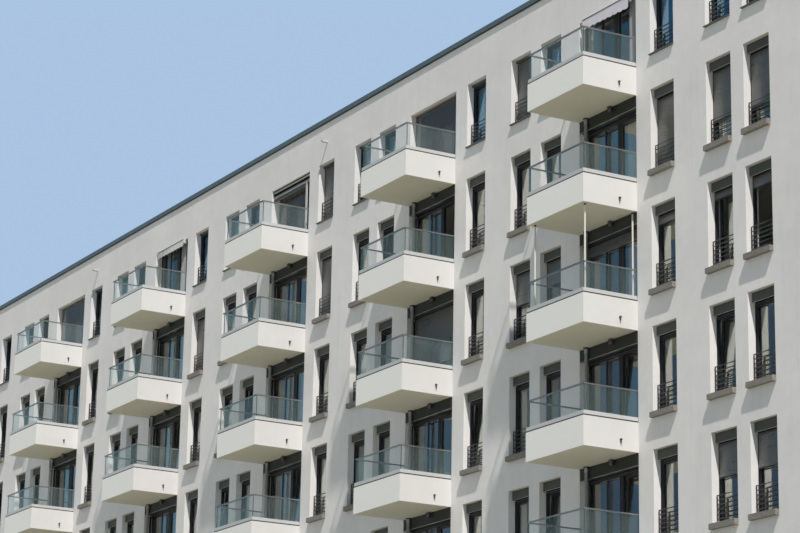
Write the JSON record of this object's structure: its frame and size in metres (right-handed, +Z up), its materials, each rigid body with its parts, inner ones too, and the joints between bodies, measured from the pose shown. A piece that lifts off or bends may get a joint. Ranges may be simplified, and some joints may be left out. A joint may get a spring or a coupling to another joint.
{
  "type": "apartment block, 1:2 scale model",
  "caption": "Long white apartment block as a half-size model, hollow, with projecting glass-railed balconies, narrow windows on stone sills and a dark metal parapet cap.",
  "frame": {"origin": "on the ground, at the middle of the whole model's plan", "axes": "+X along the front, to the right as seen from outside, +Y from the front to the back, +Z up"},
  "size_m": [24.833, 6.831, 13.617],
  "materials": {
    "white_render": "matte",
    "balcony_white": "matte",
    "concrete": "matte",
    "roofing": "matte",
    "sill_stone": "matte",
    "dark_metal": "satin",
    "rail_aluminium": "satin",
    "pipe_metal": "satin",
    "awning_metal": "satin",
    "post_metal": "satin",
    "clear_glass": "gloss",
    "awning_fabric": "matte"
  },
  "bodies": {
    "root": {"front_bands": "white_render", "front_piers": "white_render", "back_bands": "white_render", "back_piers": "white_render", "left_end_wall": "white_render", "right_end_wall": "white_render", "ground_slab": "concrete", "floor_slabs": "concrete", "roof_slab": "roofing", "front_coping": "dark_metal", "back_coping": "dark_metal", "left_coping": "dark_metal", "right_coping": "dark_metal", "window_sills": "sill_stone", "ground_window_sills": "sill_stone", "top_sill_walls": "white_render", "top_window_sills": "dark_metal", "back_window_sills": "sill_stone", "balcony_floors": "balcony_white", "balcony_front_fascias": "balcony_white", "balcony_side_fascias": "balcony_white", "balcony_channels": "rail_aluminium", "balcony_front_glass": "clear_glass", "balcony_side_glass": "clear_glass", "balcony_handrails": "rail_aluminium", "downpipes": "pipe_metal", "parapet_spouts": "pipe_metal", "awning_cassettes": "awning_metal", "awning_valances": "awning_fabric", "balcony_posts": "post_metal"}
  },
  "joints": []
}
